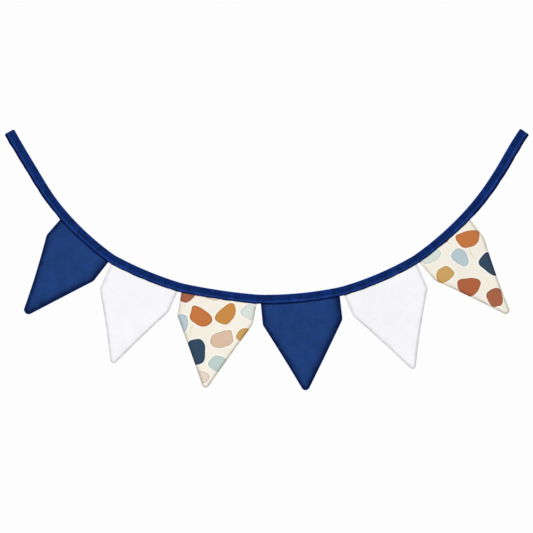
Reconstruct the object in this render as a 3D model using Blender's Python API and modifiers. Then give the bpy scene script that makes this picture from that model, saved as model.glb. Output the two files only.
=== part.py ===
"""A hanging bunting: six two-layer cotton pennants held in one folded binding tape.

The frame is in metres with +X to the viewer's right, +Z up and the front facing -Y.
The origin lies midway between the two top corners of the tape's ends, on the plane of the
flat back of the tape.  The tables below are in millimetres, read along the tape's fold.
"""

import math
from typing import NamedTuple

import bpy
import numpy as np

MM = 0.001
COLLECTION = "bunting"
CUTTERS = "pocket_cutters"


class Stretch(NamedTuple):
    """One stretch of the tape's fold, bent as an even arc."""

    name: str
    length_mm: float
    turn_deg: float


class Flag(NamedTuple):
    """One pennant, in its own frame: along its top edge, and down from that edge."""

    name: str
    fabric: str
    left_top_mm: float
    left_out_mm: float
    left_drop_mm: float
    left_bow_mm: float
    right_top_mm: float
    right_out_mm: float
    right_drop_mm: float
    right_bow_mm: float
    tip_along_mm: float
    tip_drop_mm: float
    tip_radius_mm: float
    left_curl_mm: float
    right_curl_mm: float
    tip_curl_mm: float


START_MM = (-455.50, -0.54)
START_HEADING_DEG = -60.78
COURSE = (
    Stretch("left_end", 56.9, 1.76),
    Stretch("left_arm", 55.0, 0.03),
    Stretch("left_bend", 70.5, 10.78),
    Stretch("over_flag_1", 102.7, 11.69),
    Stretch("bend_1", 16.2, 8.71),
    Stretch("over_flag_2", 117.1, 10.53),
    Stretch("bend_2", 15.3, 5.57),
    Stretch("over_flag_3", 123.2, 6.57),
    Stretch("bend_3", 18.7, 5.18),
    Stretch("over_flag_4", 129.6, 11.08),
    Stretch("bend_4", 15.3, 5.59),
    Stretch("over_flag_5", 129.3, 12.94),
    Stretch("bend_5", 12.4, 6.12),
    Stretch("over_flag_6", 110.0, 11.00),
    Stretch("right_bend", 73.6, 9.55),
    Stretch("right_arm", 54.9, 4.52),
    Stretch("right_end", 57.3, -5.06),
)
# A flag reaches this far past its stretch at an end that meets a bend between two flags.
FLAG_OVERRUN_MM = 4.0

# Each side stands out from the ends of the flag's straight top line by its top and shoulder
# columns.  A shoulder is where the short side ends, this drop below that line.  The bow is how far
# the long side swells out of straight at its middle.  The tip is a circle's middle and radius.
FLAGS = (
    #    name      fabric  left top, out, drop, bow   right top, out, drop, bow   tip, radius   curls
    Flag("flag_1", "blue", 3.2, 2.7, 36.6, -1.5, 2.4, 5.1, 42.5, -0.1, 7.4, 158.5, 8.4, 0.6, 2.2, 3.0),
    Flag("flag_2", "white", 1.8, 3.0, 49.6, -1.4, -0.9, -2.1, 41.0, -0.9, 4.0, 156.8, 6.6, 1.8, 0.4, 2.2),
    Flag("flag_3", "print", 2.0, 3.0, 42.3, -0.7, 1.5, -0.4, 38.2, -0.5, -1.3, 155.7, 6.8, 0.5, 1.6, 3.4),
    Flag("flag_4", "blue", 2.9, 3.0, 37.9, -0.7, -1.2, -0.5, 41.8, 0.4, -8.1, 154.2, 7.8, 1.9, 0.7, 2.4),
    Flag("flag_5", "white", 1.6, 1.4, 40.0, -1.0, -0.3, -0.1, 47.7, -1.6, -9.4, 164.4, 6.1, 0.5, 2.0, 3.2),
    Flag("flag_6", "print", 0.3, -0.1, 42.3, -0.9, 1.9, 0.1, 40.1, -1.4, 3.9, 165.5, 6.8, 2.2, 0.6, 2.6),
)
SHOULDER_FILLET_MM = 3.0

# How far the hanging row stands forward of the wall plane, along X.
SWAY_MM = (
    (-480.0, 0.0),
    (-395.0, 0.0),
    (-260.0, 2.6),
    (-90.0, 0.8),
    (60.0, 3.0),
    (230.0, 1.0),
    (320.0, 2.4),
    (395.0, 0.0),
    (480.0, 0.0),
)

# The folded tape, by distance along the fold.
TAPE_WIDTH_MM = (
    (0.0, 19.9),
    (60.0, 19.1),
    (110.0, 18.8),
    (165.0, 18.0),
    (240.0, 17.3),
    (430.0, 16.7),
    (500.0, 16.2),
    (565.0, 16.8),
    (714.0, 16.5),
    (800.0, 16.3),
    (905.0, 16.1),
    (962.0, 17.3),
    (985.0, 18.6),
    (1017.0, 19.3),
    (1102.0, 20.1),
    (1158.0, 19.8),
)
TAPE_THICKNESS_MM = (
    (0.0, 3.0),
    (13.0, 3.0),
    (17.0, 2.5),
    (160.0, 2.5),
    (178.0, 3.8),
    (976.0, 3.8),
    (994.0, 2.5),
    (1141.0, 2.5),
    (1145.0, 3.0),
    (1158.0, 3.0),
)
# One section of the tape, walked from the open lower edge up the front and down the back:
# the share of the width above the lower edge, and the share of the thickness off the back.
TAPE_SECTION = (
    (0.000, 0.10),
    (0.000, 0.90),
    (0.035, 1.00),
    (0.180, 1.06),
    (0.330, 1.00),
    (0.400, 0.90),
    (0.490, 0.99),
    (0.780, 1.00),
    (0.940, 0.92),
    (1.000, 0.66),
    (1.000, 0.34),
    (0.940, 0.08),
    (0.880, 0.00),
    (0.035, 0.00),
)
RIDGE_ROWS = (2, 3, 4)
EDGE_ROWS = (0, 1, 2, 13)
STATION_STEP_MM = 7.6
END_STEPS_MM = (0.0, 0.5, 1.5, 3.0)
END_CORNER_MM = 3.0
END_EDGE_THIN = 0.25
# Puckers of the sewn tape: wavelength, phase in degrees, and depth in the ridge and at the edge.
PUCKERS = ((27.0, 20.0, 0.20, 0.16), (41.0, 130.0, 0.16, 0.18), (17.5, 260.0, 0.12, 0.08))

# A flag's top is tucked into the tape and held in a pocket a little larger than itself.
TUCK_MM = 11.0
TUCK_TAPER_MM = 1.5
POCKET_CLEARANCE_MM = 0.3
POCKET_BELOW_MM = 8.0
POCKET_COLUMNS = 11
FLAG_PLANE_MM = 1.9

# A flag is thickest over the turned seam allowance that runs round its inside.
SEAM_THICKNESS_MM = 2.2
RIM_SHARE = 0.42
CLOTH_SHARE = 0.68
TUCK_SHARE = 0.55
SEAM_STEPS_MM = (0.0, 1.0, 5.5, 7.5)
INNER_COLUMNS = 5
FULL_SEAM_WIDTH_MM = 30.0
TUCKED_TO_MM = 2.5
UPPER_DROPS_MM = (-TUCK_MM, -0.5 * TUCK_MM, 0.0, TUCKED_TO_MM, 6.0)
TIP_ROWS_MM = (9.0, 5.0, 1.0, 0.0)
TIP_BULGE_SHARES = (0.55, 0.78, 0.97, 1.0)
DIAGONAL_ROWS = 5

FABRICS = {
    "blue": (0.014, 0.048, 0.178, 1.0),
    "white": (0.86, 0.87, 0.90, 1.0),
    "print": (0.86, 0.82, 0.74, 1.0),
    "tape": (0.009, 0.025, 0.125, 1.0),
}
CLOTH_ROUGHNESS = 0.9


def clear_scene():
    """Empty the startup scene."""
    for thing in list(bpy.data.objects):
        bpy.data.objects.remove(thing, do_unlink=True)


def collection(name):
    """A new collection in the scene."""
    made = bpy.data.collections.new(name)
    bpy.context.scene.collection.children.link(made)
    return made


def cloth(name, colour):
    """A plain matt cloth material."""
    material = bpy.data.materials.new(name)
    material.use_nodes = True
    shader = material.node_tree.nodes["Principled BSDF"]
    shader.inputs["Base Color"].default_value = colour
    shader.inputs["Roughness"].default_value = CLOTH_ROUGHNESS
    material.diffuse_color = colour
    return material


def from_table(rows, at):
    """Straight-line reading of a two-column table."""
    table = np.array(rows)
    return np.interp(at, table[:, 0], table[:, 1])


def sway(x_mm):
    """How far the cloth stands forward at this X, eased between the rows of SWAY_MM."""
    table = np.array(SWAY_MM)
    row = np.clip(np.searchsorted(table[:, 0], x_mm) - 1, 0, len(table) - 2)
    share = (x_mm - table[row, 0]) / (table[row + 1, 0] - table[row, 0])
    eased = 0.5 - 0.5 * np.cos(np.pi * np.clip(share, 0.0, 1.0))
    return table[row, 1] + eased * (table[row + 1, 1] - table[row, 1])


class Fold:
    """The tape's upper fold as a chain of arcs, read by distance along it."""

    samples = 4001

    def __init__(self):
        lengths = np.array([stretch.length_mm for stretch in COURSE])
        turns = np.array([stretch.turn_deg for stretch in COURSE])
        self.ends = np.concatenate([[0.0], np.cumsum(lengths)])
        self.length = self.ends[-1]
        headings = START_HEADING_DEG + np.concatenate([[0.0], np.cumsum(turns)])
        self.at = np.linspace(0.0, self.length, self.samples)
        self.heading = np.radians(np.interp(self.at, self.ends, headings))
        step = self.at[1]
        self.x = START_MM[0] + self.summed(np.cos(self.heading)) * step
        self.z = START_MM[1] + self.summed(np.sin(self.heading)) * step

    @staticmethod
    def summed(values):
        """Running trapezium sum, starting at nought."""
        return np.concatenate([[0.0], np.cumsum(0.5 * (values[1:] + values[:-1]))])

    def stretch(self, name):
        """Where a named stretch starts and ends."""
        row = [stretch.name for stretch in COURSE].index(name)
        return self.ends[row], self.ends[row + 1]

    def point(self, at, below=0.0):
        """(x, z) of the point this far below the fold, square to it."""
        heading = np.interp(at, self.at, self.heading)
        x = np.interp(at, self.at, self.x) + below * np.sin(heading)
        z = np.interp(at, self.at, self.z) - below * np.cos(heading)
        return x, z


def mesh_object(name, points, faces, material, home):
    """A mesh object from points in millimetres."""
    mesh = bpy.data.meshes.new(name)
    mesh.from_pydata((np.asarray(points) * MM).tolist(), [], faces)
    mesh.materials.append(material)
    made = bpy.data.objects.new(name, mesh)
    home.objects.link(made)
    return made


def pucker(at, column):
    """The tape's small waves along its length: column 2 is the ridge, column 3 the edge."""
    waves = [row[column] * np.sin(2 * np.pi * at / row[0] + math.radians(row[1])) for row in PUCKERS]
    return np.sum(waves, axis=0)


def tape_stations(fold):
    """Distances along the fold at which the tape's section is drawn."""
    ends = np.array(END_STEPS_MM)
    count = math.ceil((fold.length - 2 * ends[-1]) / STATION_STEP_MM)
    middle = np.linspace(ends[-1], fold.length - ends[-1], count + 1)[1:-1]
    return np.concatenate([ends, middle, fold.length - ends[::-1]])


def tape_rings(fold):
    """The tape's sections: an array of stations by section points by (x, y, z)."""
    at = tape_stations(fold)
    section = np.array(TAPE_SECTION)
    width = from_table(TAPE_WIDTH_MM, at)
    thickness = from_table(TAPE_THICKNESS_MM, at)
    off_end = np.minimum(at, fold.length - at)
    gone = END_CORNER_MM - np.minimum(off_end, END_CORNER_MM)
    corner = END_CORNER_MM - np.sqrt(END_CORNER_MM**2 - gone**2)
    thin = 1.0 - END_EDGE_THIN * gone / END_CORNER_MM
    height = corner[:, None] + section[:, 0] * (width - 2 * corner)[:, None]
    forward = section[:, 1] * (thickness * thin)[:, None]
    calm = np.clip(off_end / 20.0, 0.0, 1.0)
    forward[:, RIDGE_ROWS] += (calm * pucker(at, 2))[:, None]
    height[:, EDGE_ROWS] += (calm * pucker(at, 3))[:, None]
    x, z = fold.point(at[:, None], width[:, None] - height)
    return np.stack([x, -forward - sway(x), z], axis=2)


def loft(name, rings, material, home):
    """A closed body through rings of equal count, capped at both ends."""
    stations, around = rings.shape[:2]
    first = np.arange(stations - 1)[:, None] * around
    here = np.arange(around)[None, :]
    after = (here + 1) % around
    quads = np.stack([first + here, first + after, first + around + after, first + around + here], axis=2)
    faces = quads.reshape(-1, 4).tolist()
    last = (stations - 1) * around
    faces.append(list(range(around))[::-1])
    faces.append([last + place for place in range(around)])
    return mesh_object(name, rings.reshape(-1, 3), faces, material, home)


class FlagPlace:
    """Where a flag hangs: the straight line between the ends of its top edge."""

    def __init__(self, fold, number):
        start, end = fold.stretch(f"over_flag_{number}")
        start -= FLAG_OVERRUN_MM if number > 1 else 0.0
        end += FLAG_OVERRUN_MM if number < len(FLAGS) else 0.0
        left = np.array(fold.point(start, float(from_table(TAPE_WIDTH_MM, start))))
        right = np.array(fold.point(end, float(from_table(TAPE_WIDTH_MM, end))))
        self.middle = 0.5 * (left + right)
        self.width = float(np.linalg.norm(right - left))
        self.along = (right - left) / self.width
        self.down = np.array([self.along[1], -self.along[0]])

    def world(self, along, down, forward):
        """Points in the row's frame from the flag's own along, down and forward."""
        x = self.middle[0] + along * self.along[0] + down * self.down[0]
        z = self.middle[1] + along * self.along[1] + down * self.down[1]
        return np.stack([x, -(FLAG_PLANE_MM + forward + sway(x)), z], axis=-1)


def top_along(flag, half, side, down):
    """Where a flag's side stands at its top edge or above it, where the sides lean in inside the tape."""
    top = flag.left_top_mm if side < 0 else flag.right_top_mm
    return side * (half + top - TUCK_TAPER_MM * max(0.0, -down / TUCK_MM))


def side_of_flag(flag, half, side):
    """A flag's edge from its tucked top to where the rounded tip starts; side is -1 or 1.

    The lower stretch runs to the tip's circle as its tangent, and bows outwards by the flag's
    own amount, as a parabola.
    """
    out = flag.left_out_mm if side < 0 else flag.right_out_mm
    drop = flag.left_drop_mm if side < 0 else flag.right_drop_mm
    bow = flag.left_bow_mm if side < 0 else flag.right_bow_mm
    shoulder = np.array([side * (half + out), drop])
    centre = np.array([flag.tip_along_mm, flag.tip_drop_mm])
    reach = centre - shoulder
    span = float(np.linalg.norm(reach))
    heading = math.atan2(reach[1], reach[0]) - side * math.asin(flag.tip_radius_mm / span)
    ray = np.array([math.cos(heading), math.sin(heading)])
    outward = side * np.array([ray[1], -ray[0]])
    run = math.sqrt(span**2 - flag.tip_radius_mm**2)
    top = np.array([top_along(flag, half, side, 0.0), 0.0])
    fall = (shoulder - top) / np.linalg.norm(shoulder - top)
    tucked = [(top_along(flag, half, side, down), down) for down in UPPER_DROPS_MM if down <= 0.0]
    short = [top + fall * down / fall[1] for down in UPPER_DROPS_MM if down > 0.0]
    before = shoulder - fall * SHOULDER_FILLET_MM
    after = shoulder + ray * SHOULDER_FILLET_MM
    evenly = np.linspace(SHOULDER_FILLET_MM, run - TIP_ROWS_MM[0], DIAGONAL_ROWS + 1)[1:-1]
    distances = np.concatenate([evenly, run - np.array(TIP_ROWS_MM)])[:, None]
    share = (distances - SHOULDER_FILLET_MM) / (run - SHOULDER_FILLET_MM)
    lower = shoulder + ray * distances + outward * bow * 4.0 * share * (1.0 - share)
    return np.vstack([tucked, short, before, 0.5 * shoulder + 0.25 * (before + after), after, lower])


def column_shares(width):
    """Where a row's columns stand, as shares of its width, closer over the seam allowance."""
    steps = np.array(SEAM_STEPS_MM) * min(1.0, width / FULL_SEAM_WIDTH_MM) / width
    inner = np.linspace(steps[-1], 1.0 - steps[-1], INNER_COLUMNS + 2)[1:-1]
    return np.concatenate([steps, inner, 1.0 - steps[::-1]])


def tip_bulge(flag, left, right, shares):
    """How far the rounded tip hangs below the line between its two ends."""
    across = left[0] + shares * (right[0] - left[0]) - flag.tip_along_mm
    level = left[1] + shares * (right[1] - left[1])
    arc = flag.tip_drop_mm + np.sqrt(np.maximum(flag.tip_radius_mm**2 - across**2, 0.0))
    return np.maximum(arc - level, 0.0)


def flag_grid(flag, place):
    """The flag's middle surface and its thickness shares, as rows from the top to the tip."""
    left = side_of_flag(flag, 0.5 * place.width, -1)
    right = side_of_flag(flag, 0.5 * place.width, 1)
    tip_from = len(left) - len(TIP_ROWS_MM)
    rows = []
    thickness = []
    for row, (start, end) in enumerate(zip(left, right)):
        shares = column_shares(float(np.linalg.norm(end - start)))
        spots = start + shares[:, None] * (end - start)
        if row >= tip_from:
            bulge = tip_bulge(flag, left[-1], right[-1], shares)
            spots[:, 1] += TIP_BULGE_SHARES[row - tip_from] * bulge
        rows.append(spots)
        thickness.append(thickness_shares(row, len(left), tip_from))
    return np.array(rows), np.array(thickness)


def thickness_shares(row, count, tip_from):
    """Shares of the seam's thickness across one row of a flag."""
    columns = 2 * len(SEAM_STEPS_MM) + INNER_COLUMNS
    if UPPER_DROPS_MM[min(row, len(UPPER_DROPS_MM) - 1)] <= TUCKED_TO_MM:
        return np.full(columns, TUCK_SHARE)
    shares = np.full(columns, CLOTH_SHARE)
    if row > tip_from:
        shares[:] = 1.0
    shares[[1, 2, -3, -2]] = 1.0
    shares[[0, -1]] = RIM_SHARE
    if row == count - 1:
        shares[:] = RIM_SHARE
    return shares


def curl(flag, along, down, half):
    """How far a flag curls forward: each lower side by its own amount, and the tip."""
    fallen = np.clip(down / flag.tip_drop_mm, 0.0, 1.1)
    across = np.clip(along / half, -1.0, 1.0)
    left = flag.left_curl_mm * np.clip(-across, 0.0, 1.0) ** 2
    right = flag.right_curl_mm * np.clip(across, 0.0, 1.0) ** 2
    belly = np.sin(np.pi * np.clip(fallen, 0.0, 1.0))
    return (left + right) * belly + flag.tip_curl_mm * fallen**3


def grid_faces(rows, columns):
    """Quads of a grid whose points are counted along each row in turn, facing -Y."""
    corner = (np.arange(rows - 1)[:, None] * columns + np.arange(columns - 1)).reshape(-1)
    return np.stack([corner, corner + columns, corner + columns + 1, corner + 1], axis=1).tolist()


def solidify(thing, thickness_mm, group=""):
    """Give a surface its thickness, half to each side."""
    modifier = thing.modifiers.new("thickness", "SOLIDIFY")
    modifier.thickness = thickness_mm * MM
    modifier.offset = 0.0
    if group:
        modifier.vertex_group = group


def build_flag(flag, place, material, home):
    """One pennant, tucked top and all."""
    spots, shares = flag_grid(flag, place)
    forward = curl(flag, spots[..., 0], spots[..., 1], 0.5 * place.width)
    points = place.world(spots[..., 0], spots[..., 1], forward)
    faces = grid_faces(*spots.shape[:2])
    made = mesh_object(flag.name, points.reshape(-1, 3), faces, material, home)
    group = made.vertex_groups.new(name="thickness")
    for index, share in enumerate(shares.reshape(-1)):
        group.add([index], float(share), "REPLACE")
    solidify(made, SEAM_THICKNESS_MM, group.name)
    return made


def build_pocket(flag, place, material, home):
    """The cutter for the space between the tape's two leaves that one flag's top lies in."""
    half = 0.5 * place.width + POCKET_CLEARANCE_MM
    downs = np.array([-TUCK_MM - POCKET_CLEARANCE_MM, 0.0, POCKET_BELOW_MM])
    ends = np.array([[top_along(flag, half, side, down) for side in (-1, 1)] for down in downs])
    along = np.linspace(ends[:, 0], ends[:, 1], POCKET_COLUMNS, axis=1)
    down = np.repeat(downs[:, None], POCKET_COLUMNS, axis=1)
    points = place.world(along, down, np.zeros_like(along))
    faces = grid_faces(*along.shape)
    made = mesh_object(f"pocket_{flag.name}", points.reshape(-1, 3), faces, material, home)
    solidify(made, SEAM_THICKNESS_MM * TUCK_SHARE + 2 * POCKET_CLEARANCE_MM)
    made.hide_render = True
    made.display_type = "WIRE"
    return made


def main():
    """Build the tape with its pockets, and the six flags."""
    clear_scene()
    home = collection(COLLECTION)
    cutters = collection(CUTTERS)
    cutters.hide_render = True
    materials = {name: cloth(f"{name}_cotton", colour) for name, colour in FABRICS.items()}
    fold = Fold()
    tape = loft("binding_tape", tape_rings(fold), materials["tape"], home)
    for number, flag in enumerate(FLAGS, start=1):
        place = FlagPlace(fold, number)
        build_flag(flag, place, materials[flag.fabric], home)
        cutter = build_pocket(flag, place, materials["tape"], cutters)
        cut = tape.modifiers.new(cutter.name, "BOOLEAN")
        cut.operation = "DIFFERENCE"
        cut.solver = "EXACT"
        cut.object = cutter


main()
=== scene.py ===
"""Looks of a hanging fabric bunting.

Six two-layer cotton pennants hang from a folded binding tape that sags between two free ends.
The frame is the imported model: metres, +X to the viewer's right, +Z up, the front facing -Y, and
the origin midway between the two top corners of the tape's ends.  Sizes below are in
millimetres until they reach a mesh.
"""

from __future__ import annotations

import logging
import math
from dataclasses import dataclass
from enum import Enum
from typing import Any

import bpy
import numpy as np
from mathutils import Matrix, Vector


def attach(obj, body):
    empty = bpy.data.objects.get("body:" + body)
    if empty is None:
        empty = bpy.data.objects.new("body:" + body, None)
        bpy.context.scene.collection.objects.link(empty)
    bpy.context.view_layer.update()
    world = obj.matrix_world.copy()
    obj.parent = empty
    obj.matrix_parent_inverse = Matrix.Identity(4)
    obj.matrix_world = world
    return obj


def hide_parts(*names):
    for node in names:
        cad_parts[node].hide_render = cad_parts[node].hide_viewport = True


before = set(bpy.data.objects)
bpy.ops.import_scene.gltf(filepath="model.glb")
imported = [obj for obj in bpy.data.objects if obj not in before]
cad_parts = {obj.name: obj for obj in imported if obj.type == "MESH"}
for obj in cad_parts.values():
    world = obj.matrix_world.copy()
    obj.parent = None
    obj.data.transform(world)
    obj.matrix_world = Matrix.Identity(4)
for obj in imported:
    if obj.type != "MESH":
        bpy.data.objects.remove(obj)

Array = np.ndarray
Socket = bpy.types.NodeSocket
# (place, value) rows, in rising order of place, with an eased way between them
Table = tuple[tuple[float, float], ...]
# (wavelength, phase in degrees, height) of each wave
Waves = tuple[tuple[float, float, float], ...]
# (place where a change starts, place where it ends, value at its start, value at its end)
Ramp = tuple[float, float, float, float]

MM = 0.001
BODY = "root"
UV_NAME = "cloth"
# Points nearer than 10 to the minus this many millimetres are made one.
MERGE_DIGITS = 4
log = logging.getLogger("bunting")


# ---------------------------------------------------------------- small tools


def linear(hex_code: str) -> tuple[float, float, float, float]:
    """Turn an sRGB hex colour into linear light.

    Args:
        hex_code: six hex digits, with or without a leading mark.

    Returns:
        Linear red, green, blue and an alpha of one.
    """
    digits = hex_code.lstrip("#")
    coded = np.array([int(digits[place : place + 2], 16) for place in (0, 2, 4)]) / 255.0
    light = np.where(coded <= 0.04045, coded / 12.92, ((coded + 0.055) / 1.055) ** 2.4)
    return (float(light[0]), float(light[1]), float(light[2]), 1.0)


def eased(rows: Table, at: Array) -> Array:
    """Read a table with a cosine ease between its rows.

    Args:
        rows: the table.
        at: places to read.

    Returns:
        The values there.
    """
    table = np.array(rows, float)
    row = np.clip(np.searchsorted(table[:, 0], at, side="right") - 1, 0, len(table) - 2)
    share = (at - table[row, 0]) / (table[row + 1, 0] - table[row, 0])
    blend = 0.5 - 0.5 * np.cos(np.pi * np.clip(share, 0.0, 1.0))
    return table[row, 1] + blend * (table[row + 1, 1] - table[row, 1])


def waves(rows: Waves, at: Array) -> Array:
    """Sum of sines along a length.

    Args:
        rows: the waves.
        at: places along the length.

    Returns:
        The summed heights.
    """
    table = np.array(rows, float)
    turns = at[..., None] / table[:, 0] + table[:, 1] / 360.0
    return (table[:, 2] * np.sin(2.0 * np.pi * turns)).sum(axis=-1)


def rounded_off(share: Array) -> Array:
    """A quarter circle's height: nought at a share of nought, upright there, and one at one."""
    return np.sqrt(1.0 - (1.0 - share) ** 2)


def grid_quads(rows: int, columns: int, first: int, flipped: bool) -> Array:
    """Corner numbers of the quads of a grid that is counted row by row.

    Args:
        rows: rows of points.
        columns: points in a row.
        first: the number of the grid's first point.
        flipped: turn each face to the other side.

    Returns:
        An array of quads by four corners.
    """
    corner = first + (np.arange(rows - 1)[:, None] * columns + np.arange(columns - 1)).reshape(-1)
    quads = np.stack([corner, corner + columns, corner + columns + 1, corner + 1], axis=1)
    return quads[:, ::-1] if flipped else quads


def make_piece(
    name: str, points_mm: Array, quads: Array, uv_mm: Array, marks: dict[str, Array]
) -> bpy.types.Object:
    """Make a smooth mesh object whose coinciding points are made one.

    Args:
        name: the piece's name.
        points_mm: points by (x, y, z), in millimetres.
        quads: faces by four corner numbers.
        uv_mm: each point's place on the flat cloth, in millimetres; the UV map holds metres.
        marks: named values for the points, kept as float attributes.

    Returns:
        The object, at the origin, riding on the body.
    """
    near = np.round(points_mm, MERGE_DIGITS)
    _, kept, merged = np.unique(near, axis=0, return_index=True, return_inverse=True)
    merged = merged.reshape(-1)
    mesh = bpy.data.meshes.new(name)
    mesh.from_pydata((points_mm[kept] * MM).tolist(), [], merged[quads].tolist())
    layer = mesh.uv_layers.new(name=UV_NAME)
    layer.data.foreach_set("uv", (uv_mm[quads.reshape(-1)] * MM).astype(np.float32).reshape(-1))
    for mark, values in marks.items():
        attribute = mesh.attributes.new(mark, "FLOAT", "POINT")
        attribute.data.foreach_set("value", values[kept].astype(np.float32))
    mesh.shade_smooth()
    mesh.update()
    piece = bpy.data.objects.new(name, mesh)
    bpy.context.scene.collection.objects.link(piece)
    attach(piece, BODY)
    return piece


class Step(Enum):
    """Steps of a finish: a kind of node, its settings, the sockets that feed it, and its result."""

    CLOTH_MAP = ("UVMap", {}, (), "UV")
    MARK = ("Attribute", {}, (), "Fac")
    SEEN = ("LightPath", {}, (), "Is Camera Ray")
    SUM = ("Math", {"operation": "ADD"}, (0, 1), 0)
    LESS = ("Math", {"operation": "SUBTRACT"}, (0, 1), 0)
    TIMES = ("Math", {"operation": "MULTIPLY"}, (0, 1), 0)
    TIMES_PLUS = ("Math", {"operation": "MULTIPLY_ADD"}, (0, 1, 2), 0)
    OVER = ("Math", {"operation": "DIVIDE"}, (0, 1), 0)
    POWER = ("Math", {"operation": "POWER"}, (0, 1), 0)
    GREATER = ("Math", {"operation": "MAXIMUM"}, (0, 1), 0)
    UNSIGNED = ("Math", {"operation": "ABSOLUTE"}, (0,), 0)
    SINE = ("Math", {"operation": "SINE"}, (0,), 0)
    COSINE = ("Math", {"operation": "COSINE"}, (0,), 0)
    LEVEL = ("MapRange", {}, ("Value", "To Min", "To Max"), 0)
    RAMP = ("MapRange", {"interpolation_type": "SMOOTHSTEP"}, (0, 1, 2, 3, 4), 0)
    X = ("SeparateXYZ", {}, (0,), 0)
    Y = ("SeparateXYZ", {}, (0,), 1)
    SCALED = ("VectorMath", {"operation": "SCALE"}, (0, "Scale"), 0)
    MOVED = ("VectorMath", {"operation": "ADD"}, (0, 1), 0)
    AWAY = ("VectorMath", {"operation": "SUBTRACT"}, (0, 1), 0)
    WRAPPED = ("VectorMath", {"operation": "WRAP"}, (0, 1, 2), 0)
    LENGTH = ("VectorMath", {"operation": "LENGTH"}, (0,), "Value")
    TURNED = ("VectorRotate", {"rotation_type": "Z_AXIS"}, ("Vector", "Angle"), 0)
    STRETCHED = ("Mapping", {}, ("Vector", "Scale"), 0)
    CLOUDS = ("TexNoise", {}, ("Vector", "Scale", "Detail", "Roughness"), "Fac")
    DRIFT = ("TexNoise", {}, ("Vector", "Scale", "Detail"), "Color")
    MIXED = ("Mix", {"data_type": "RGBA"}, (0, 6, 7), 2)
    TINTED = ("Mix", {"data_type": "RGBA", "blend_type": "MULTIPLY"}, (0, 6, 7), 2)
    RELIEF = ("Bump", {}, ("Height", "Distance", "Strength"), 0)


def add_node(tree: bpy.types.NodeTree, step: Step, *values: Any, **settings: Any) -> Socket:
    """Add the node of one step, with its settings, values and links.

    Args:
        tree: the node tree.
        step: which step.
        values: a value for each socket that feeds it, or the socket whose result it takes.
        settings: more of the node's own properties.

    Returns:
        The socket that holds the result.
    """
    kind, given, sockets, result = step.value
    node = tree.nodes.new(f"ShaderNode{kind}")
    for setting, value in {**given, **settings}.items():
        setattr(node, setting, value)
    for socket, value in zip(sockets, values):
        if isinstance(value, Socket):
            tree.links.new(value, node.inputs[socket])
        else:
            node.inputs[socket].default_value = value
    return node.outputs[result]


# ------------------------------------------------------- the tape's hanging course


@dataclass(frozen=True)
class Stretch:
    """One stretch of the tape's fold, bent as an even arc."""

    name: str
    length_mm: float
    turn_deg: float


COURSE = (
    Stretch("left_end", 56.9, 1.76),
    Stretch("left_arm", 55.0, 0.03),
    Stretch("left_bend", 70.5, 10.78),
    Stretch("over_flag_1", 102.7, 11.69),
    Stretch("bend_1", 16.2, 8.71),
    Stretch("over_flag_2", 117.1, 10.53),
    Stretch("bend_2", 15.3, 5.57),
    Stretch("over_flag_3", 123.2, 6.57),
    Stretch("bend_3", 18.7, 5.18),
    Stretch("over_flag_4", 129.6, 11.08),
    Stretch("bend_4", 15.3, 5.59),
    Stretch("over_flag_5", 129.3, 12.94),
    Stretch("bend_5", 12.4, 6.12),
    Stretch("over_flag_6", 110.0, 11.00),
    Stretch("right_bend", 73.6, 9.55),
    Stretch("right_arm", 54.9, 4.52),
    Stretch("right_end", 57.3, -5.06),
)

# (X, how far the hanging row stands forward of the wall plane there)
SWAY_MM = (
    (-480.0, 0.0), (-395.0, 0.0), (-260.0, 2.6), (-90.0, 0.8), (60.0, 3.0),
    (230.0, 1.0), (320.0, 2.4), (395.0, 0.0), (480.0, 0.0),
)


class Fold:
    """The tape's upper fold as a chain of arcs, read by distance along it."""

    start_mm = (-455.50, -0.54)
    start_heading_deg = -60.78
    samples = 4001

    def __init__(self) -> None:
        """Add up the stretches: each heading turns evenly, and each step follows its heading."""
        lengths = np.array([stretch.length_mm for stretch in COURSE])
        turns = np.array([stretch.turn_deg for stretch in COURSE])
        self.ends: Array = np.concatenate([[0.0], np.cumsum(lengths)])
        self.length = float(self.ends[-1])
        headings = self.start_heading_deg + np.concatenate([[0.0], np.cumsum(turns)])
        self.at: Array = np.linspace(0.0, self.length, self.samples)
        self.heading: Array = np.radians(np.interp(self.at, self.ends, headings))
        self.x = self.start_mm[0] + self._summed(np.cos(self.heading))
        self.z = self.start_mm[1] + self._summed(np.sin(self.heading))

    def _summed(self, values: Array) -> Array:
        """Running trapezium sum of values along the fold, starting at nought."""
        steps = 0.5 * (values[1:] + values[:-1]) * self.at[1]
        return np.concatenate([[0.0], np.cumsum(steps)])

    def over_flag(self, number: int) -> tuple[float, float]:
        """Where the stretch over a flag starts and ends."""
        row = [stretch.name for stretch in COURSE].index(f"over_flag_{number}")
        return float(self.ends[row]), float(self.ends[row + 1])

    def point(self, at: Array, below: Array) -> tuple[Array, Array]:
        """The point a distance below the fold, square to it.

        Args:
            at: distance along the fold.
            below: distance below the fold.

        Returns:
            X and Z.
        """
        heading = np.interp(at, self.at, self.heading)
        x = np.interp(at, self.at, self.x) + below * np.sin(heading)
        z = np.interp(at, self.at, self.z) - below * np.cos(heading)
        return x, z


# ------------------------------------------------------------------ the seams

# The tape's seam, as a share of its width above the lower edge and as millimetres below the fold.
STITCH_SHARE = 0.40
SEAM_BELOW_MM = 9.8
# How far in from a flag's free edge its seam allowance ends, which leaves a faint groove.
SEAM_GROOVE_MM = 5.6


# ------------------------------------------------------------------ finishes


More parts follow.
